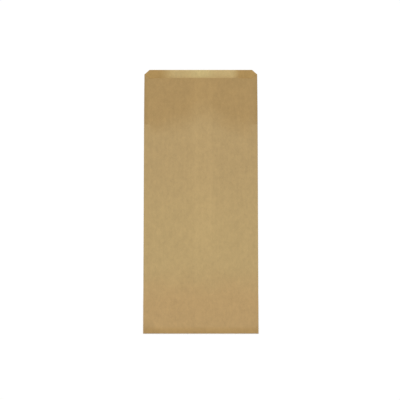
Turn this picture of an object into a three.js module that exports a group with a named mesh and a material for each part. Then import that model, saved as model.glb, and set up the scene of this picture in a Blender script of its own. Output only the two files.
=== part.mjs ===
import * as THREE from "three";

// A flat kraft paper bag, lying on its back with its front panel up and its mouth towards +Y.
// It is one sheet: two panels between two side folds, closed by a glued lap down the back, with
// the foot folded under and glued. The back panel's edge reaches past the front panel's, as a lip.
// Millimetres. The origin is the middle of the footprint, on the surface that the bag lies on.

// Cut sizes of the flat bag
const BAG_WIDTH = 165; // between the side folds
const BAG_LENGTH = 382; // from the bottom fold to the lip's edge
const LIP_LENGTH = 13; // from the front panel's edge to the lip's edge
const CORNER_CUT = 7.5; // where the slanted cut at each side fold ends, measured along each edge
const FLAP_LENGTH = 45; // foot of the tube, folded under the back panel

// Paper and folds
const PAPER = 0.1; // one ply
const PLY_CLEARANCE = 0.15; // air between plies that lie on each other
const FLAP_CLEARANCE = 0.2; // air between the back panel and the flap under it
const FLAP_RAMP = 14; // length over which the back panel comes down past the flap's edge
const BOTTOM_GLUE = 0.6; // glued strip that closes the inside at the bottom fold

// Lap that closes the tube, on the back panel
const LAP_WIDTH = 20;
const LAP_SHIFT = 3.8; // middle of the lap, right of the bag's middle
const LAP_RAMP = 4; // length over which the upper ply climbs onto the lower one
const CUT_RUN = 0.05; // slant of a cut edge across its thickness

// How far the front panel stands off the back one
const BODY_RISE = 3; // along the middle of the bag
const MOUTH_RISE = 6.5; // at the middle of the front panel's edge
const MOUTH_SLOPE = 82; // length over which the panel climbs to the mouth
const FOOT_ROUNDING = 10; // length over which the panel rounds down to the bottom fold
const ARCH_POWER = 2.4; // section across the bag: 2 is a parabola, more is flatter on top

// Fineness of the mesh
const FRONT_COLUMNS = 18;
const BACK_COLUMNS = 6; // on each side of the lap
const LAP_COLUMNS = 2;
const FOLD_STEPS = 4; // even, so that one point lies on the fold's outermost line
const BEND_STEPS = 6;
const ROUNDING_ROWS = 5;
const FOOT_ROWS = 3;
const BODY_ROWS = 11;
const MOUTH_ROWS = 9;
const EDGE_ROWS = 3;
const FLAP_ROWS = 3;

const KRAFT = { color: 0xb69b6c, roughness: 0.9, metalness: 0 };

const sectionHeight = 3 * PAPER + PLY_CLEARANCE; // two plies and the lap between them
const foldRadius = sectionHeight / 2; // outside of a side fold
const flatHalf = BAG_WIDTH / 2 - foldRadius; // where a side fold starts
const cutHalf = BAG_WIDTH / 2 - CORNER_CUT;
const bendRadius = FLAP_CLEARANCE / 2; // inside of the bottom fold
const bendY = -BAG_LENGTH / 2 + bendRadius + sectionHeight; // axis of the bottom fold
const bendZ = sectionHeight + bendRadius;
const lipReach = BAG_LENGTH / 2 - bendY; // distances from the bottom fold's axis
const frontReach = lipReach - LIP_LENGTH;
const foldReach = lipReach - LIP_LENGTH / 2; // the slanted cut crosses the fold halfway
const slopeStart = frontReach - MOUTH_SLOPE;
const edgeStart = frontReach - CORNER_CUT;
const lapRight = LAP_SHIFT + LAP_WIDTH / 2;
const lapLeft = LAP_SHIFT - LAP_WIDTH / 2;

const { clamp, lerp, smoothstep } = THREE.MathUtils;

// Points from one value to another, without the first.
function spaced(from, to, count) {
  return Array.from({ length: count }, (_, i) => lerp(from, to, (i + 1) / count));
}

// Columns of the front panel, from the left fold to the right one.
function frontColumns() {
  const shoulder = (cutHalf + flatHalf) / 2;
  return [-flatHalf, -shoulder, -cutHalf, ...spaced(-cutHalf, cutHalf, FRONT_COLUMNS), shoulder, flatHalf]
    .map((s) => ({ panel: "front", s }));
}

// Columns of the back panel, from the right fold to the left one. Past the lap's right edge the
// upper ply climbs from the surface, and at its left edge that ply ends inside the bag.
function backColumns() {
  const shoulder = (cutHalf + flatHalf) / 2;
  const flat = (s) => ({ panel: "back", s, under: 0, over: PAPER });
  const doubled = (s) => ({ panel: "back", s, under: 0, over: 2 * PAPER });
  return [
    ...[flatHalf, shoulder, cutHalf].map(flat),
    ...spaced(cutHalf, lapRight + LAP_RAMP, BACK_COLUMNS).map(flat),
    { panel: "back", s: lapRight + CUT_RUN, under: PAPER, over: 2 * PAPER },
    ...[lapRight, ...spaced(lapRight, lapLeft, LAP_COLUMNS)].map(doubled),
    flat(lapLeft - CUT_RUN),
    ...spaced(lapLeft - CUT_RUN, -cutHalf, BACK_COLUMNS).map(flat),
    ...[-shoulder, -flatHalf].map(flat),
  ];
}

// Columns round a side fold, between the panels, in the order of the loop.
function foldColumns(side) {
  const turn = spaced(Math.PI / 2, -Math.PI / 2, FOLD_STEPS).slice(0, -1);
  return turn.map((angle) => ({ panel: "fold", side, angle }));
}

const front = frontColumns();
const back = backColumns();
const columns = [...front, ...foldColumns(1), ...back, ...foldColumns(-1)];

// How far the front panel's middle stands off its side folds, at a distance from the bottom fold.
function riseAt(reach) {
  const foot = 1 - clamp(1 - reach / FOOT_ROUNDING, 0, 1) ** 2;
  const climb = clamp((reach - slopeStart) / MOUTH_SLOPE, 0, 1);
  return BODY_RISE * foot + (MOUTH_RISE - BODY_RISE) * climb ** 2;
}

// Height of the back panel's underside: on the flap, then down to the surface.
function baseAt(reach) {
  const onFlap = 2 * bendRadius + sectionHeight;
  return onFlap * (1 - smoothstep(reach, FLAP_LENGTH, FLAP_LENGTH + FLAP_RAMP));
}

// The paper keeps its width, so an arched panel's folds come closer together.
function chordShare(rise) {
  return 1 - ((2 * ARCH_POWER ** 2) / (2 * ARCH_POWER - 1)) * (rise / BAG_WIDTH) ** 2;
}

// A column's place across the bag and its height over the section's underside.
function sectionPoint(column, rise, outside) {
  const share = chordShare(rise);
  if (column.panel === "fold") {
    const radius = outside ? foldRadius : foldRadius - PAPER;
    const x = column.side * (flatHalf * share + radius * Math.cos(column.angle));
    return [x, foldRadius + column.side * radius * Math.sin(column.angle)];
  }
  const x = column.s * share;
  if (column.panel === "back") return [x, outside ? column.under : column.over];
  const arch = 1 - Math.abs(column.s / flatHalf) ** ARCH_POWER;
  return [x, sectionHeight - (outside ? 0 : PAPER) + rise * arch];
}

// Where the mouth's cut crosses a column: the lip, the slant over the fold, or the front edge.
function cutReach(column) {
  if (column.panel === "fold") return foldReach;
  const edge = column.panel === "front" ? frontReach : lipReach;
  const slant = clamp((Math.abs(column.s) - cutHalf) / (flatHalf - cutHalf), 0, 1);
  return lerp(edge, foldReach, slant);
}

// Rows are functions from a column and a side of the paper to a point in space.
function bodyRow(reachOf) {
  return (column, outside) => {
    const reach = reachOf(column);
    const [x, height] = sectionPoint(column, riseAt(reach), outside);
    return [x, bendY + reach, baseAt(reach) + height];
  };
}

function bendRow(angle) {
  return (column) => {
    const [x, height] = sectionPoint(column, 0, true);
    const radius = bendRadius + height;
    return [x, bendY - radius * Math.sin(angle), bendZ + radius * Math.cos(angle)];
  };
}

function flapRow(reach) {
  return (column) => {
    const [x, height] = sectionPoint(column, 0, true);
    return [x, bendY + reach, bendZ - bendRadius - height];
  };
}

// Rows of the tube from its glued foot to its cut edge.
function tubeRows() {
  const flapEnd = FLAP_LENGTH + FLAP_RAMP;
  const straight = [
    BOTTOM_GLUE,
    ...spaced(BOTTOM_GLUE, FOOT_ROUNDING, ROUNDING_ROWS),
    ...spaced(FOOT_ROUNDING, FLAP_LENGTH, FOOT_ROWS),
    (FLAP_LENGTH + flapEnd) / 2,
    flapEnd,
    ...spaced(flapEnd, slopeStart, BODY_ROWS),
    ...spaced(slopeStart, edgeStart, MOUTH_ROWS),
  ].map((reach) => bodyRow(() => reach));
  const cut = spaced(0, 1, EDGE_ROWS).map((share) =>
    bodyRow((column) => lerp(edgeStart, cutReach(column), share)),
  );
  return [...straight, ...cut];
}

// Rows of the outside past the tube's foot, from the flap's edge round the bottom fold.
function footRows() {
  const flap = spaced(FLAP_LENGTH, 0, FLAP_ROWS).map(flapRow);
  const bend = spaced(Math.PI, 0, BEND_STEPS).map(bendRow);
  return [flapRow(FLAP_LENGTH), ...flap, ...bend];
}

// Adds a loop of points for every row and joins neighbouring loops, facing out of the paper.
function addSkin(mesh, rows, outside) {
  const loops = rows.map((row) =>
    columns.map((column) => mesh.points.push(...row(column, outside)) / 3 - 1),
  );
  loops.slice(1).forEach((loop, i) => joinLoops(mesh, loops[i], loop, outside));
  return loops;
}

// Two triangles for each step round a pair of loops.
function joinLoops(mesh, near, far, turned) {
  near.forEach((a, i) => {
    const next = (i + 1) % near.length;
    const quad = [a, far[i], far[next], a, far[next], near[next]];
    mesh.triangles.push(...(turned ? quad.reverse() : quad));
  });
}

// Closes a loop by joining its upper points to its lower ones, from one side fold to the other.
function closeLoop(mesh, loop, turned) {
  const half = FOLD_STEPS / 2;
  const ring = (i) => loop[(i + loop.length) % loop.length];
  const top = Array.from({ length: front.length + 2 * half }, (_, i) => ring(i - half));
  const bottom = Array.from({ length: back.length + 2 * half }, (_, i) => ring(-half - i));
  const x = (index) => mesh.points[3 * index];
  let t = 0;
  let b = 0;
  while (t < top.length - 1 || b < bottom.length - 1) {
    const topNext = t + 1 < top.length ? x(top[t + 1]) : Infinity;
    const bottomNext = b + 1 < bottom.length ? x(bottom[b + 1]) : Infinity;
    const third = topNext < bottomNext ? top[t + 1] : bottom[b + 1];
    const face = [top[t], bottom[b], third];
    if (new Set(face).size === 3) mesh.triangles.push(...(turned ? face.reverse() : face));
    if (topNext < bottomNext) t += 1;
    else b += 1;
  }
}

function bagGeometry() {
  const mesh = { points: [], triangles: [] };
  const tube = tubeRows();
  const outer = addSkin(mesh, [...footRows(), ...tube], true);
  const inner = addSkin(mesh, tube, false);
  joinLoops(mesh, outer.at(-1), inner.at(-1), true);
  closeLoop(mesh, outer[0], false);
  closeLoop(mesh, inner[0], true);
  const geometry = new THREE.BufferGeometry();
  geometry.setAttribute("position", new THREE.Float32BufferAttribute(mesh.points, 3));
  geometry.setIndex(mesh.triangles);
  geometry.computeVertexNormals();
  return geometry;
}

const bag = new THREE.Mesh(bagGeometry(), new THREE.MeshStandardMaterial(KRAFT));
bag.name = "bag";

const paperBag = new THREE.Group();
paperBag.add(bag);

export default paperBag;
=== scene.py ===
"""A flat kraft paper bag, lying on its back, seen from above: paper, dents, floor, light and camera.

Metres, in the row frame: X across the bag, Y from the bottom fold to the mouth, Z up.
"""

import math

import bpy
import numpy as np
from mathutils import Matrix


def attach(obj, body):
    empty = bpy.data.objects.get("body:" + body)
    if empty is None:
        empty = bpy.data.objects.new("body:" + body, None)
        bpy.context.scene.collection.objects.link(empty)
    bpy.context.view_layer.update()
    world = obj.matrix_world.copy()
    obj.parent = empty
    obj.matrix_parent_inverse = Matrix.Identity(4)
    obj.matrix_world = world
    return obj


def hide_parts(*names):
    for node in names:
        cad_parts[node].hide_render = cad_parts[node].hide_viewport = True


MM = 0.001

# The bag's cut, folds and stand, as its solid has them
BAG_WIDTH = 165 * MM
BAG_LENGTH = 382 * MM
LIP_LENGTH = 13 * MM
CORNER_CUT = 7.5 * MM
FLAP_LENGTH = 45 * MM
PAPER = 0.1 * MM
PLY_CLEARANCE = 0.15 * MM
FLAP_CLEARANCE = 0.2 * MM
FLAP_RAMP = 14 * MM
BOTTOM_GLUE = 0.6 * MM
LAP_WIDTH = 20 * MM
LAP_SHIFT = 3.8 * MM
LAP_RAMP = 4 * MM
CUT_RUN = 0.05 * MM
BODY_RISE = 3 * MM
MOUTH_RISE = 6.5 * MM
MOUTH_SLOPE = 82 * MM
FOOT_ROUNDING = 10 * MM
ARCH_POWER = 2.4

SECTION = 3 * PAPER + PLY_CLEARANCE  # two plies and the lap between them
FOLD_RADIUS = SECTION / 2
FLAT_HALF = BAG_WIDTH / 2 - FOLD_RADIUS  # where a side fold starts
CUT_HALF = BAG_WIDTH / 2 - CORNER_CUT
BEND_RADIUS = FLAP_CLEARANCE / 2  # inside of the bottom fold
BEND_Y = -BAG_LENGTH / 2 + BEND_RADIUS + SECTION
BEND_Z = SECTION + BEND_RADIUS
LIP_REACH = BAG_LENGTH / 2 - BEND_Y  # distances from the bottom fold's axis
FRONT_REACH = LIP_REACH - LIP_LENGTH
FOLD_REACH = LIP_REACH - LIP_LENGTH / 2
SLOPE_START = FRONT_REACH - MOUTH_SLOPE
LAP_RIGHT = LAP_SHIFT + LAP_WIDTH / 2
LAP_LEFT = LAP_SHIFT - LAP_WIDTH / 2
CHORD_LOSS = 2 * ARCH_POWER**2 / (2 * ARCH_POWER - 1)  # an arched panel's folds come closer together

# Fineness of the sheet
FRONT_STEP = 1.6 * MM
BACK_STEP = 5 * MM
OUTER_STEP = 1.5 * MM
INNER_STEP = 3 * MM
FOOT_STEP = 0.9 * MM
CREASE_STEP = 0.7 * MM
CUT_ROWS = 6
FOLD_STEPS = 6
BEND_STEPS = 10
SHARP_ANGLE = math.radians(45)
UPPER_MARGIN = 0.01  # counts the outermost line of a side fold with the front

# The photograph's frame, and how the bag sits in it
FRAME_PX = 400
PX = 1.4435 * MM  # one pixel of the photograph at the bag
BAG_CENTRE_PX = (200.4, 201.3)
CAMERA_DISTANCE = 1.8
CAMERA_TILT = math.radians(5.1)
CAMERA_AIM = (-1.2 * MM, 0.7 * MM)
SENSOR_MM = 36.0


def column_at(x):
    """A column of the photograph as a distance right of the bag's middle."""
    return (x - BAG_CENTRE_PX[0]) * PX


def row_at(y):
    """A row of the photograph as a distance along the bag from its middle."""
    return (BAG_CENTRE_PX[1] - y) * PX


def smoothstep(x, low, high):
    t = np.clip((x - low) / (high - low), 0, 1)
    return t * t * (3 - 2 * t)


# The sheet's soft dents and swellings: place in the photograph, half sizes across and along, rise
DENTS = [
    ((160, 232), (13 * MM, 20 * MM), -0.30 * MM),
    ((238, 232), (13 * MM, 20 * MM), -0.30 * MM),
    ((166, 306), (11 * MM, 14 * MM), -0.26 * MM),
    ((232, 306), (11 * MM, 14 * MM), -0.26 * MM),
    ((217, 112), (12 * MM, 16 * MM), -0.34 * MM),
    ((172, 118), (14 * MM, 12 * MM), -0.28 * MM),
    ((199, 178), (9 * MM, 40 * MM), 0.22 * MM),
    ((226, 160), (12 * MM, 22 * MM), -0.22 * MM),
    ((150, 180), (9 * MM, 26 * MM), 0.22 * MM),
    ((249, 258), (9 * MM, 24 * MM), 0.24 * MM),
    ((199, 262), (16 * MM, 26 * MM), 0.24 * MM),
    ((180, 282), (12 * MM, 16 * MM), -0.20 * MM),
]
DENT_SIDE_FADE = 14 * MM  # lengths over which the dents fade in from a side fold and the bottom fold
DENT_FOOT_FADE = 18 * MM

# Short creases: their ends in the photograph, half width, rise
CREASES = [
    ((141, 123.6), (154, 126.4), 1.5 * MM, -0.20 * MM),
    ((260, 123.2), (247, 126.6), 1.5 * MM, -0.20 * MM),
    ((226, 291), (242, 284), 2.0 * MM, 0.12 * MM),
    ((156, 285), (168, 291), 2.2 * MM, 0.10 * MM),
    ((146, 203), (166, 206), 2.2 * MM, 0.08 * MM),
]
CREASE_END_FADE = 0.6  # share of its length over which a crease runs out
CREASE_SIDE_FADE = 1.5 * MM  # length over which the creases run out at a side fold
SIDE_CREASES = (row_at(129), row_at(121))  # stretch of the bag with the creases at its side folds
LAP_RIDGE = 0.12 * MM  # how much the lap's edges lift the panel over them
LAP_RIDGE_HALF = 1.8 * MM
LAP_RIDGE_FADE = 60 * MM  # length over which they rise from the bottom fold


def rise_at(reach):
    """How far the front panel's middle stands off its folds, at a distance from the bottom fold."""
    foot = 1 - np.clip(1 - reach / FOOT_ROUNDING, 0, 1) ** 2
    climb = np.clip((reach - SLOPE_START) / MOUTH_SLOPE, 0, 1)
    return BODY_RISE * foot + (MOUTH_RISE - BODY_RISE) * climb**2


def base_at(reach):
    """Height of the back panel's underside: on the flap, then down to the floor."""
    on_flap = 2 * BEND_RADIUS + SECTION
    return on_flap * (1 - smoothstep(reach, FLAP_LENGTH, FLAP_LENGTH + FLAP_RAMP))


def hump(distance, half):
    """A soft bump across its middle: 1 there, and nearly 0 at twice its half width."""
    return np.exp(-((distance / half) ** 2))


def dents(x, y):
    """Soft dents of the front panel, fading out at its folds and its foot."""
    height = np.zeros_like(x)
    for (column, row), (half_x, half_y), rise in DENTS:
        height += rise * hump(x - column_at(column), half_x) * hump(y - row_at(row), half_y)
    height *= smoothstep(FLAT_HALF - np.abs(x), 0, DENT_SIDE_FADE)
    return height * smoothstep(y - BEND_Y, 0, DENT_FOOT_FADE)


def creases(x, y):
    """Thin creases of the front panel, and the lines where it rests on the lap's edges."""
    height = np.zeros_like(x)
    for start, end, half, rise in CREASES:
        run_x = column_at(end[0]) - column_at(start[0])
        run_y = row_at(end[1]) - row_at(start[1])
        off_x = x - column_at(start[0])
        off_y = y - row_at(start[1])
        share = (off_x * run_x + off_y * run_y) / (run_x**2 + run_y**2)
        near = np.clip(share, 0, 1)
        away = np.hypot(off_x - near * run_x, off_y - near * run_y)
        height += rise * hump(away, half) * smoothstep(1 - share, 0, CREASE_END_FADE)
    for edge in (LAP_LEFT, LAP_RIGHT):
        height += LAP_RIDGE * hump(x - edge, LAP_RIDGE_HALF) * smoothstep(y - BEND_Y, 0, LAP_RIDGE_FADE)
    return height * smoothstep(FLAT_HALF - np.abs(x), 0, CREASE_SIDE_FADE)


def spaced(start, end, step):
    """Even steps from start to end, without the first."""
    count = max(1, math.ceil(abs(end - start) / step))
    return [start + (end - start) * (i + 1) / count for i in range(count)]


def front_places(shoulder):
    """The front panel's columns, from the left fold to the right one."""
    left = [-across for across in reversed(shoulder)]
    return left + spaced(-CUT_HALF, CUT_HALF, FRONT_STEP) + shoulder[1:]


def back_plies(shoulder):
    """The back panel's columns from right to left: place, heights under and over the ply.

    Past the lap's right edge the upper ply climbs from the floor, and at the left one it ends inside.
    """
    flat = (0, PAPER)
    doubled = (0, 2 * PAPER)
    right = [*reversed(shoulder), *spaced(CUT_HALF, LAP_RIGHT + LAP_RAMP, BACK_STEP)]
    lap_edge = (LAP_RIGHT + CUT_RUN, PAPER, 2 * PAPER)
    lap = [LAP_RIGHT, *spaced(LAP_RIGHT, LAP_LEFT, BACK_STEP)]
    left = [LAP_LEFT - CUT_RUN, *spaced(LAP_LEFT - CUT_RUN, -CUT_HALF, BACK_STEP)]
    left += [-across for across in shoulder[1:]]
    return [
        *[(across, *flat) for across in right],
        lap_edge,
        *[(across, *doubled) for across in lap],
        *[(across, *flat) for across in left],
    ]


def fold_columns(side):
    """Columns round a side fold: kind, place, side, angle, and no heights."""
    turn = [math.pi * (0.5 - (i + 1) / FOLD_STEPS) for i in range(FOLD_STEPS - 1)]
    return [("fold", side * FLAT_HALF, side, angle, 0, 0) for angle in turn]


def sheet_columns():
    """Columns round the tube: kind, place, side and angle of a fold, heights under and over the ply."""
    shoulder = [CUT_HALF, *spaced(CUT_HALF, FLAT_HALF, FRONT_STEP)]
    columns = [("front", across, 0, 0, 0, 0) for across in front_places(shoulder)]
    columns += fold_columns(1)
    columns += [("back", across, 0, 0, *heights) for across, *heights in back_plies(shoulder)]
    columns += fold_columns(-1)
    return columns


class Sheet:
    """Points and faces of the paper, row by row along the tube."""

    def __init__(self):
        kinds, *values = zip(*sheet_columns())
        self.across, self.side, self.angle, self.under, self.over = np.array(values, float)
        self.front = np.array(kinds) == "front"
        self.back = np.array(kinds) == "back"
        self.fold = np.array(kinds) == "fold"
        self.upper = self.front | (self.fold & (self.side * np.sin(self.angle) > -UPPER_MARGIN))
        self.points = []
        self.faces = []
        self.paint = []

    def section(self, rise, reach, outside):
        """Places across and heights over the section's underside."""
        radius = FOLD_RADIUS if outside else FOLD_RADIUS - PAPER
        x = self.across * (1 - CHORD_LOSS * (rise / BAG_WIDTH) ** 2)
        x = np.where(self.fold, x + self.side * radius * np.cos(self.angle), x)
        arch = 1 - np.abs(self.across / FLAT_HALF) ** ARCH_POWER
        y = BEND_Y + reach
        top = SECTION - (0 if outside else PAPER) + rise * arch
        top = top + dents(self.across, y) + creases(self.across, y)
        height = np.where(self.front, top, self.under if outside else self.over)
        turned = FOLD_RADIUS + self.side * radius * np.sin(self.angle)
        return x, np.where(self.fold, turned, height)

    def add(self, x, y, z):
        """Adds a loop of points and returns their numbers."""
        first = len(self.points)
        self.points.extend(zip(x.tolist(), y.tolist(), z.tolist()))
        return np.arange(first, first + len(x))

    def body_row(self, reach, outside):
        """A loop round the tube, inside or outside, at a distance from the bottom fold."""
        reach = np.broadcast_to(reach, self.across.shape)
        x, height = self.section(rise_at(reach), reach, outside)
        return self.add(x, BEND_Y + reach, base_at(reach) + height)

    def bend_row(self, angle):
        """A loop of the bottom fold, turned back by an angle."""
        flat = np.zeros_like(self.across)
        x, height = self.section(flat, flat, True)
        radius = BEND_RADIUS + height
        return self.add(x, BEND_Y - radius * math.sin(angle), BEND_Z + radius * math.cos(angle))

    def flap_row(self, reach):
        """A loop of the flap under the back panel."""
        flat = np.zeros_like(self.across)
        x, height = self.section(flat, flat, True)
        return self.add(x, BEND_Y + reach + flat, BEND_Z - BEND_RADIUS - height)

    def cut_reach(self):
        """Where the mouth's cut crosses each column: at the lip, the slanted corner or the front."""
        edge = np.where(self.front, FRONT_REACH, LIP_REACH)
        slant = np.clip((np.abs(self.across) - CUT_HALF) / (FLAT_HALF - CUT_HALF), 0, 1)
        return np.where(self.fold, FOLD_REACH, edge + (FOLD_REACH - edge) * slant)

    def add_face(self, face, paint, turned):
        self.faces.append([int(i) for i in (face[::-1] if turned else face)])
        self.paint.append(paint)

    def join(self, near, far, upper_paint, lower_paint, turned=False):
        """Joins neighbouring loops, with one paint over the upper columns and one over the others."""
        for i in range(len(near)):
            j = (i + 1) % len(near)
            paint = upper_paint if self.upper[i] and self.upper[j] else lower_paint
            self.add_face((near[i], near[j], far[j], far[i]), paint, turned)

    def skin(self, loops, upper_paint, lower_paint, turned=False):
        """Joins every loop to the next one."""
        for near, far in zip(loops, loops[1:]):
            self.join(near, far, upper_paint, lower_paint, turned)

    def close(self, loop, paint, turned=False):
        """Closes a loop by joining its upper points to its lower ones."""
        half = FOLD_STEPS // 2
        top = [loop[i - half] for i in range(self.front.sum() + 2 * half)]
        bottom = [loop[-half - i] for i in range(self.back.sum() + 2 * half)]
        above = below = 0
        while above < len(top) - 1 or below < len(bottom) - 1:
            top_x = self.points[top[above + 1]][0] if above + 1 < len(top) else math.inf
            bottom_x = self.points[bottom[below + 1]][0] if below + 1 < len(bottom) else math.inf
            third = top[above + 1] if top_x < bottom_x else bottom[below + 1]
            face = (top[above], bottom[below], third)
            if len(set(face)) == len(face):
                self.add_face(face, paint, turned)
            if top_x < bottom_x:
                above += 1
            else:
                below += 1


FRONT, BACK, INSIDE, EDGE = range(4)  # the bag's materials, in the order of its slots


def tube_rows(sheet, step):
    """Distances of the tube's rows from the bottom fold, closer together at the foot and the creases."""
    edge_start = FRONT_REACH - CORNER_CUT
    crease_low, crease_high = (y - BEND_Y for y in SIDE_CREASES)
    straight = [
        BOTTOM_GLUE,
        *spaced(BOTTOM_GLUE, FOOT_ROUNDING, FOOT_STEP),
        *spaced(FOOT_ROUNDING, crease_low, step),
        *spaced(crease_low, crease_high, CREASE_STEP),
        *spaced(crease_high, edge_start, step),
    ]
    to_cut = sheet.cut_reach() - edge_start
    return straight + [edge_start + to_cut * share for share in np.linspace(0, 1, CUT_ROWS + 1)[1:]]


def bag_sheet():
    """The whole sheet: its outer skin from the flap to the mouth, its inner skin and the cut edges."""
    sheet = Sheet()
    foot = [sheet.flap_row(FLAP_LENGTH)]
    foot += [sheet.flap_row(reach) for reach in spaced(FLAP_LENGTH, 0, BACK_STEP)]
    foot += [sheet.bend_row(math.pi * (1 - (i + 1) / BEND_STEPS)) for i in range(BEND_STEPS)]
    outer = foot + [sheet.body_row(reach, True) for reach in tube_rows(sheet, OUTER_STEP)]
    inner = [sheet.body_row(reach, False) for reach in tube_rows(sheet, INNER_STEP)]
    sheet.skin(outer, FRONT, BACK)
    sheet.skin(inner, INSIDE, INSIDE, turned=True)
    sheet.join(outer[-1], inner[-1], EDGE, EDGE)
    sheet.close(outer[0], EDGE)
    sheet.close(inner[0], INSIDE, turned=True)
    return sheet


def bag_mesh():
    sheet = bag_sheet()
    mesh = bpy.data.meshes.new("bag_sheet")
    mesh.from_pydata(sheet.points, [], sheet.faces)
    mesh.polygons.foreach_set("material_index", sheet.paint)
    mesh.polygons.foreach_set("use_smooth", [True] * len(mesh.polygons))
    mesh.update()
    mesh.set_sharp_from_angle(angle=SHARP_ANGLE)
    return mesh


class Nodes:
    """Short ways to add and join shader nodes."""

    def __init__(self, name):
        self.material = bpy.data.materials.new(name)
        self.material.use_nodes = True
        self.tree = self.material.node_tree
        self.shader = self.tree.nodes["Principled BSDF"]

    def add(self, kind, inputs=None, **settings):
        """Adds a node, whose inputs are values or other nodes' sockets."""
        node = self.tree.nodes.new(kind)
        for key, value in settings.items():
            setattr(node, key, value)
        for key, value in (inputs or {}).items():
            if isinstance(value, bpy.types.NodeSocket):
                self.tree.links.new(value, node.inputs[key])
            else:
                node.inputs[key].default_value = value
        return node

    def math(self, operation, a, b=0.0):
        return self.add("ShaderNodeMath", {0: a, 1: b}, operation=operation).outputs[0]

    def plus(self, a, b):
        return self.math("ADD", a, b)

    def minus(self, a, b):
        return self.math("SUBTRACT", a, b)

    def times(self, a, b):
        return self.math("MULTIPLY", a, b)

    def off(self, value, middle):
        """Distance of a value from a middle one."""
        return self.math("ABSOLUTE", self.minus(value, middle))

    def remap(self, value, band, to_low=0.0, to_high=1.0, smooth=True):
        """Turns a value into another one, over a band with two ends."""
        node = self.add(
            "ShaderNodeMapRange",
            {0: value, 1: band[0], 2: band[1], 3: to_low, 4: to_high},
            interpolation_type="SMOOTHSTEP" if smooth else "LINEAR",
        )
        return node.outputs[0]

    def swing(self, noise, amount, band):
        """A noise as a change of at most an amount, up or down."""
        return self.remap(noise, band, -amount, amount, smooth=False)

    def noise(self, vector, scale, detail, rough=0.5):
        node = self.add(
            "ShaderNodeTexNoise", {"Vector": vector, "Scale": scale, "Detail": detail, "Roughness": rough}
        )
        return node.outputs["Fac"]

    def layer(self, place, stretch, scale, detail, rough):
        """Noise that is drawn out along the bag, the more so the smaller stretch is."""
        drawn = self.add("ShaderNodeVectorMath", {0: place, 1: (1.0, stretch, 1.0)}, operation="MULTIPLY")
        return self.noise(drawn.outputs[0], scale, detail, rough)

    def tint(self, colour, factor, other, blend="MIX"):
        """A colour turned into another by a factor."""
        inputs = {0: factor, 6: colour, 7: other}
        return self.add("ShaderNodeMix", inputs, data_type="RGBA", blend_type=blend).outputs[2]


def srgb(red, green, blue):
    """A colour given as 0 to 255, as the shader's own light values, by the sRGB curve."""

    def channel(value):
        value /= 255
        return value / 12.92 if value <= 0.04045 else ((value + 0.055) / 1.055) ** 2.4

    return (channel(red), channel(green), channel(blue), 1.0)


# Tones of the paper
BODY_TONE = srgb(179, 152, 105)
# painted light: the belly is tinted lighter where the light falls fullest on it
BELLY_LIGHT_TONE = srgb(183, 157, 108)
# painted shade where the front climbs to the mouth
MOUTH_SHADE_TONE = srgb(172, 142, 93)
FOOT_TONE = srgb(182, 151, 103)
FOLD_TONE = srgb(180, 147, 95)
LIP_TONE = srgb(195, 170, 117)
# painted light on the lip's middle, where its single ply is lit through from the floor
LIP_MIDDLE_LIGHT_TONE = srgb(201, 180, 125)
# painted shade at the lip's ends, in the narrowing wedge between the plies
LIP_END_SHADE_TONE = srgb(172, 140, 86)
EDGE_TONE = srgb(192, 167, 118)

# Layers of the paper, drawn out along the bag, with scales per metre
MOTTLE = {"stretch": 0.8, "scale": 85, "detail": 2.0, "rough": 0.55}
CLOUDS = {"stretch": 0.7, "scale": 240, "detail": 3.0, "rough": 0.6}
FIBRES = {"stretch": 0.3, "scale": 1300, "detail": 4.0, "rough": 0.72}
RIBS = {"stretch": 0.02, "scale": 330, "detail": 2.0, "rough": 0.6}
FLECKS = {"stretch": 0.35, "scale": 950, "detail": 1.0, "rough": 0.4}
HAIRS = {"stretch": 0.09, "scale": 1500, "detail": 0.0, "rough": 0.5}

# Noise values between which a layer changes, and how much it changes the paper's brightness
NOISE_BAND = (0.3, 0.7)
FIBRE_BAND = (0.25, 0.75)
FLECK_BAND = (0.72, 0.80)
HAIR_BAND = (0.66, 0.76)
MOTTLE_CHANGE = 0.032
CLOUD_CHANGE = 0.045
FIBRE_CHANGE = 0.052
RIB_CHANGE = 0.012
FLECK_CHANGE = -0.08
HAIR_CHANGE = 0.045
PALE_HAIR_ANGLES = (0.35, -0.5)
DARK_HAIR_ANGLES = (1.2, -0.1)

# The grain that the light shows: the layers' shares in it, its depth and strength, and the gloss
FIBRE_HEIGHT = 0.6
CLOUD_HEIGHT = 0.4
HAIR_HEIGHT = 0.15
GRAIN_DEPTH = 0.12 * MM
PANEL_BUMP = 0.35
EDGE_BUMP = 0.5
ROUGHNESS_BAND = (0.80, 0.92)
PAPER_SPECULAR = 0.25


def hairs(nodes, place, angles):
    """Long thin fibres lying in two directions over the paper, 0 to 1."""
    ways = []
    for angle in angles:
        inputs = {"Vector": place, "Angle": angle}
        turned = nodes.add("ShaderNodeVectorRotate", inputs, rotation_type="Z_AXIS")
        ways.append(nodes.remap(nodes.layer(turned.outputs[0], **HAIRS), HAIR_BAND))
    return nodes.math("MAXIMUM", *ways)


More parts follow.
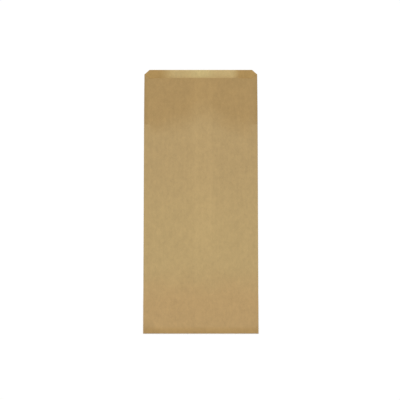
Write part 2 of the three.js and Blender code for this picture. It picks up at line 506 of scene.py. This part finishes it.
def paper_grain(nodes, place):
    """Brightness of the paper's fibres, clouds and ribs about 1, and the height of its grain."""
    clouds = nodes.layer(place, **CLOUDS)
    fibres = nodes.layer(place, **FIBRES)
    pale = hairs(nodes, place, PALE_HAIR_ANGLES)
    dark = hairs(nodes, place, DARK_HAIR_ANGLES)
    tone = nodes.plus(nodes.swing(nodes.layer(place, **MOTTLE), MOTTLE_CHANGE, NOISE_BAND), 1.0)
    tone = nodes.plus(tone, nodes.swing(clouds, CLOUD_CHANGE, NOISE_BAND))
    tone = nodes.plus(tone, nodes.swing(fibres, FIBRE_CHANGE, FIBRE_BAND))
    tone = nodes.plus(tone, nodes.swing(nodes.layer(place, **RIBS), RIB_CHANGE, NOISE_BAND))
    tone = nodes.plus(tone, nodes.remap(nodes.layer(place, **FLECKS), FLECK_BAND, 0.0, FLECK_CHANGE))
    tone = nodes.plus(tone, nodes.times(nodes.minus(pale, dark), HAIR_CHANGE))
    grain = nodes.plus(nodes.times(fibres, FIBRE_HEIGHT), nodes.times(clouds, CLOUD_HEIGHT))
    return tone, nodes.plus(grain, nodes.times(pale, HAIR_HEIGHT))


def finish_paper(nodes, colour, tone, grain, bump):
    """Joins a colour, its brightness and its grain to the shader."""
    grey = nodes.add("ShaderNodeCombineColor", {0: tone, 1: tone, 2: tone}).outputs[0]
    nodes.tree.links.new(nodes.tint(colour, 1.0, grey, "MULTIPLY"), nodes.shader.inputs["Base Color"])
    rough = nodes.remap(grain, NOISE_BAND, *ROUGHNESS_BAND, smooth=False)
    nodes.tree.links.new(rough, nodes.shader.inputs["Roughness"])
    node = nodes.add("ShaderNodeBump", {"Strength": bump, "Distance": GRAIN_DEPTH, "Height": grain})
    nodes.tree.links.new(node.outputs[0], nodes.shader.inputs["Normal"])
    nodes.shader.inputs["Specular IOR Level"].default_value = PAPER_SPECULAR
    return nodes.material


def bag_axes(nodes):
    """Places on the bag: the whole vector, across from the middle and along from the middle."""
    place = nodes.add("ShaderNodeTexCoord").outputs["Object"]
    axes = nodes.add("ShaderNodeSeparateXYZ", {0: place})
    return place, axes.outputs[0], axes.outputs[1]


# How the front's tones lie along the bag, each from where it starts to where it is full
# the belly's band of painted light
BELLY_LIGHT_BAND = (row_at(150), row_at(240))
FOOT_BAND = (row_at(262), row_at(306))
BOTTOM_FOLD_BAND = (12 * MM - BAG_LENGTH / 2, 4 * MM - BAG_LENGTH / 2)
WANDER_SCALE = 30
WANDER_DETAIL = 2.0
WANDER = 6 * MM  # how far these bands wander up and down

# The painted shade where the front climbs to the mouth: its middle line, its half length, how both
# change in the middle of the bag, and how much sooner it starts at the sides
CLIMB_LINE = row_at(124)
CLIMB_HALF = 21 * MM
CLIMB_LATER = 15 * MM
CLIMB_LONGER = 5 * MM
CLIMB_SOONER = 8 * MM
CLIMB_SIDE_BAND = (50 * MM, 64 * MM)
SHARP_CLIMB_BAND = (row_at(125.5), row_at(123.5))  # where it starts right beside the side folds
SHARP_CLIMB_SHARE = 0.6
SIDE_BAND = (70 * MM, 78 * MM)  # distances from the middle over which the sharp start takes over

# The paler middle of the front and the lines where the lap's edges show through
PALE_LINE = 2 * MM  # middle of the paler strip
PALE_MIDDLE_BAND = (36 * MM, 3 * MM)
PALE_STRIP_BAND = (26 * MM, 6 * MM)
PALE_STRIP_CHANGE = 0.035
SHOW_THROUGH_BAND = (row_at(285), row_at(240))
LAP_LINE_BAND = (5 * MM, 1 * MM)
LAP_LINE_CHANGE = 0.022

# Painted shade at the mouth's side folds and the foot's corners; painted light on the bottom fold's
# middle
SIDE_FOLD_SHADE_BAND = (74 * MM, 81 * MM)
SIDE_FOLD_SHADE_CHANGE = -0.07
FOOT_CORNER_SHADE_BAND = (34 * MM, 6 * MM)
FOOT_CORNER_SHADE_CHANGE = -0.10
FOLD_MIDDLE_LIGHT_BAND = (62 * MM, 25 * MM)
FOLD_MIDDLE_LIGHT_CHANGE = 0.07


def front_climb_shade(nodes, x, y, y_soft, middle):
    """Painted shade of the mouth's climb, 0 to 1: later and longer in the middle, sharp beside the side
    folds.
    """
    sooner = nodes.remap(nodes.off(x, 0.0), CLIMB_SIDE_BAND, 0.0, CLIMB_SOONER)
    line = nodes.minus(nodes.plus(CLIMB_LINE, nodes.times(middle, CLIMB_LATER)), sooner)
    half = nodes.plus(CLIMB_HALF, nodes.times(middle, CLIMB_LONGER))
    climb = nodes.remap(y_soft, (nodes.minus(line, half), nodes.plus(line, half)))
    sharp = nodes.remap(y, SHARP_CLIMB_BAND)
    side = nodes.remap(nodes.off(x, 0.0), SIDE_BAND)
    sharper = nodes.times(nodes.minus(sharp, climb), nodes.times(side, SHARP_CLIMB_SHARE))
    return nodes.plus(climb, sharper)


def show_through(nodes, tone, x, y_soft, off_middle):
    """The tone with a paler strip down the middle and pale lines over the lap's edges."""
    fading = nodes.remap(y_soft, SHOW_THROUGH_BAND)
    strip = nodes.remap(off_middle, PALE_STRIP_BAND, 0.0, PALE_STRIP_CHANGE)
    tone = nodes.plus(tone, nodes.times(fading, strip))
    for edge in (LAP_LEFT, LAP_RIGHT):
        line = nodes.remap(nodes.off(x, edge), LAP_LINE_BAND, 0.0, LAP_LINE_CHANGE)
        tone = nodes.plus(tone, nodes.times(fading, line))
    return tone


def front_painted_light_and_shade(nodes, tone, x, y, climb, fold):
    """The tone with painted shade at the mouth's side folds and foot corners, painted light on the bottom
    fold.
    """
    off_centre = nodes.off(x, 0.0)
    # painted shade by the side folds where the front climbs to the mouth
    side_fold_shade = nodes.remap(off_centre, SIDE_FOLD_SHADE_BAND, 0.0, SIDE_FOLD_SHADE_CHANGE)
    tone = nodes.plus(tone, nodes.times(climb, side_fold_shade))
    # painted shade in the foot's corners
    from_corner = nodes.minus(nodes.minus(y, off_centre), -BAG_LENGTH / 2 - BAG_WIDTH / 2)
    tone = nodes.plus(tone, nodes.remap(from_corner, FOOT_CORNER_SHADE_BAND, 0.0, FOOT_CORNER_SHADE_CHANGE))
    # painted light along the middle of the bottom fold
    paler = nodes.remap(off_centre, FOLD_MIDDLE_LIGHT_BAND, 0.0, FOLD_MIDDLE_LIGHT_CHANGE)
    return nodes.plus(tone, nodes.times(fold, paler))


def front_material():
    """The front: painted shade up to the mouth, painted light on the belly, redder foot, paler down the
    middle.
    """
    nodes = Nodes("kraft_front")
    place, x, y = bag_axes(nodes)
    wander = nodes.swing(nodes.noise(place, WANDER_SCALE, WANDER_DETAIL), WANDER, NOISE_BAND)
    y_soft = nodes.plus(y, wander)
    off_middle = nodes.off(x, PALE_LINE)
    # where the painted shade of the climb to the mouth falls, 0 to 1
    climb = front_climb_shade(nodes, x, y, y_soft, nodes.remap(off_middle, PALE_MIDDLE_BAND))
    fold = nodes.remap(y, BOTTOM_FOLD_BAND)
    # painted light over the belly
    colour = nodes.tint(BODY_TONE, nodes.remap(y_soft, BELLY_LIGHT_BAND), BELLY_LIGHT_TONE)
    colour = nodes.tint(colour, nodes.remap(y_soft, FOOT_BAND), FOOT_TONE)
    # the painted shade of the climb to the mouth
    colour = nodes.tint(colour, climb, MOUTH_SHADE_TONE)
    colour = nodes.tint(colour, fold, FOLD_TONE)
    tone, grain = paper_grain(nodes, place)
    tone = show_through(nodes, tone, x, y_soft, off_middle)
    tone = front_painted_light_and_shade(nodes, tone, x, y, climb, fold)
    return finish_paper(nodes, colour, tone, grain, PANEL_BUMP)


# The back: its redder foot, and the strip of the lap that the glue has darkened, with a ragged edge
BACK_FOOT_BAND = (row_at(280), row_at(306))
GLUE_BAND = (6 * MM, 4.5 * MM)
GLUE_CHANGE = -0.035
RAGGED_SCALE = 260
RAGGED_DETAIL = 2.0
RAGGED = 1 * MM


def back_material():
    """The back: plain paper, a little darker along the lap where the glue has soaked in."""
    nodes = Nodes("kraft_back")
    place, x, y = bag_axes(nodes)
    tone, grain = paper_grain(nodes, place)
    ragged = nodes.swing(nodes.noise(place, RAGGED_SCALE, RAGGED_DETAIL), RAGGED, NOISE_BAND)
    off_lap = nodes.plus(nodes.off(x, LAP_SHIFT), ragged)
    tone = nodes.plus(tone, nodes.remap(off_lap, GLUE_BAND, 0.0, GLUE_CHANGE))
    colour = nodes.tint(BODY_TONE, nodes.remap(y, BACK_FOOT_BAND), FOOT_TONE)
    return finish_paper(nodes, colour, tone, grain, PANEL_BUMP)


# The lip: painted light in the middle, painted shade at the ends, warm shade and light painted near the
# front
LIP_MIDDLE_LIGHT_BAND = (26 * MM, 2 * MM)
LIP_END_SHADE_BANDS = (
    (column_at(176), column_at(157)),
    (column_at(231), column_at(241)),
)
# painted warm shade on the lip towards the front panel's edge
LIP_WARM_SHADE_BAND = (row_at(74), row_at(79))
LIP_WARM_SHADE_SHARE = 0.30
# painted light on the lip up to the front panel's edge
LIP_EDGE_LIGHT_BAND = (row_at(74), row_at(77.5))
LIP_EDGE_LIGHT_CHANGE = 0.07


def inside_material():
    """The inside, at the lip: painted light in the middle, painted shade as dark as the front near the
    folds.
    """
    nodes = Nodes("kraft_inside")
    place, x, y = bag_axes(nodes)
    # painted light on the lip's middle
    colour = nodes.tint(LIP_TONE, nodes.remap(nodes.off(x, 0.0), LIP_MIDDLE_LIGHT_BAND), LIP_MIDDLE_LIGHT_TONE)
    # painted warm shade towards the front panel's edge
    warm_shade = nodes.remap(y, LIP_WARM_SHADE_BAND, 0.0, LIP_WARM_SHADE_SHARE)
    colour = nodes.tint(colour, warm_shade, LIP_END_SHADE_TONE)
    # painted shade at the lip's ends
    for band in LIP_END_SHADE_BANDS:
        colour = nodes.tint(colour, nodes.remap(x, band), LIP_END_SHADE_TONE)
    tone, grain = paper_grain(nodes, place)
    # painted light towards the front panel's edge
    tone = nodes.plus(tone, nodes.remap(y, LIP_EDGE_LIGHT_BAND, 0.0, LIP_EDGE_LIGHT_CHANGE))
    return finish_paper(nodes, colour, tone, grain, PANEL_BUMP)


def edge_material():
    """Cut edges, where the paper's pale fibres stand out."""
    nodes = Nodes("kraft_edge")
    place = nodes.add("ShaderNodeTexCoord").outputs["Object"]
    return finish_paper(nodes, EDGE_TONE, *paper_grain(nodes, place), EDGE_BUMP)


def add_object(name, data):
    made = bpy.data.objects.new(name, data)
    bpy.context.scene.collection.objects.link(made)
    return made


def build_bag():
    mesh = bag_mesh()
    for material in (front_material(), back_material(), inside_material(), edge_material()):
        mesh.materials.append(material)
    bag = add_object("bag_sheet", mesh)
    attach(bag, "root")
    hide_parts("bag")


# The studio: a white floor, an even pale surround and one wide light
WHITE = (1, 1, 1, 1)
FLOOR_HALF = 6.0
FLOOR_LEVEL = 0.86
FLOOR_ROUGHNESS = 0.9
FLOOR_GLOW = 0.16  # tops the lit floor up to white for the camera
FLOOR_DROP = 0.05 * MM  # keeps the floor and the bag's underside from sharing a plane
WORLD_LEVEL = 0.5
KEY_ELEVATION = math.radians(60)
KEY_SPREAD = math.radians(30)


def background_ray(tree):
    """1 for the rays that show the background: the camera's, reflected ones and those through glass."""
    ray = tree.nodes.new("ShaderNodeLightPath")
    seen = ray.outputs["Is Camera Ray"]
    for name in ("Is Glossy Ray", "Is Transmission Ray"):
        either = tree.nodes.new("ShaderNodeMath")
        either.operation = "MAXIMUM"
        tree.links.new(seen, either.inputs[0])
        tree.links.new(ray.outputs[name], either.inputs[1])
        seen = either.outputs[0]
    return seen


def build_floor():
    """A white floor that keeps the bag's shadow."""
    low, high = -FLOOR_HALF, FLOOR_HALF
    corners = [(x, y, -FLOOR_DROP) for x, y in ((low, low), (high, low), (high, high), (low, high))]
    mesh = bpy.data.meshes.new("floor")
    mesh.from_pydata(corners, [], [(0, 1, 2, 3)])
    floor = add_object("floor", mesh)
    nodes = Nodes("floor_white")
    nodes.shader.inputs["Base Color"].default_value = (FLOOR_LEVEL, FLOOR_LEVEL, FLOOR_LEVEL, 1)
    nodes.shader.inputs["Roughness"].default_value = FLOOR_ROUGHNESS
    nodes.shader.inputs["Specular IOR Level"].default_value = 0.0
    nodes.shader.inputs["Emission Color"].default_value = WHITE
    strength = nodes.times(background_ray(nodes.tree), FLOOR_GLOW)
    nodes.tree.links.new(strength, nodes.shader.inputs["Emission Strength"])
    mesh.materials.append(nodes.material)


def build_world():
    """An even pale surround, plain white where the camera sees it."""
    world = bpy.data.worlds.new("studio")
    world.use_nodes = True
    tree = world.node_tree
    light = tree.nodes["Background"]
    light.inputs["Strength"].default_value = WORLD_LEVEL
    white = tree.nodes.new("ShaderNodeBackground")
    for node in (light, white):
        node.inputs["Color"].default_value = WHITE
    pick = tree.nodes.new("ShaderNodeMixShader")
    tree.links.new(background_ray(tree), pick.inputs[0])
    tree.links.new(light.outputs[0], pick.inputs[1])
    tree.links.new(white.outputs[0], pick.inputs[2])
    tree.links.new(pick.outputs[0], tree.nodes["World Output"].inputs["Surface"])
    bpy.context.scene.world = world


def build_key():
    """A wide soft light from past the mouth, so that what leans towards the foot is darker."""
    light = bpy.data.lights.new("key", "SUN")
    light.angle = KEY_SPREAD
    light.energy = (1 - WORLD_LEVEL) * math.pi / math.sin(KEY_ELEVATION)
    lamp = add_object("key", light)
    lamp.location = (0, math.cos(KEY_ELEVATION), math.sin(KEY_ELEVATION))
    lamp.rotation_euler = (KEY_ELEVATION - math.pi / 2, 0, 0)


def build_camera():
    """Looks down on the bag from a little towards its foot, as the photograph sees it."""
    data = bpy.data.cameras.new("camera")
    data.sensor_width = SENSOR_MM
    data.lens = SENSOR_MM * CAMERA_DISTANCE / (FRAME_PX * PX)
    camera = add_object("camera", data)
    across, along = CAMERA_AIM
    camera.location = (
        across,
        along - CAMERA_DISTANCE * math.sin(CAMERA_TILT),
        CAMERA_DISTANCE * math.cos(CAMERA_TILT),
    )
    camera.rotation_euler = (CAMERA_TILT, 0, 0)
    bpy.context.scene.camera = camera


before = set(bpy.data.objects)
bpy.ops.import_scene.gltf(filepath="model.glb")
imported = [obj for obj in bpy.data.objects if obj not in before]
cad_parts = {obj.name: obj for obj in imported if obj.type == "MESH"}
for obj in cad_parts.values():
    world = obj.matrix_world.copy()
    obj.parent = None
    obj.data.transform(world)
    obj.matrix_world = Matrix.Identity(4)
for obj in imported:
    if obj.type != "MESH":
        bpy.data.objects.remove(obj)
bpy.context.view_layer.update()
build_camera()
build_world()
build_key()
build_floor()
build_bag()
bpy.context.scene.view_settings.view_transform = "Standard"
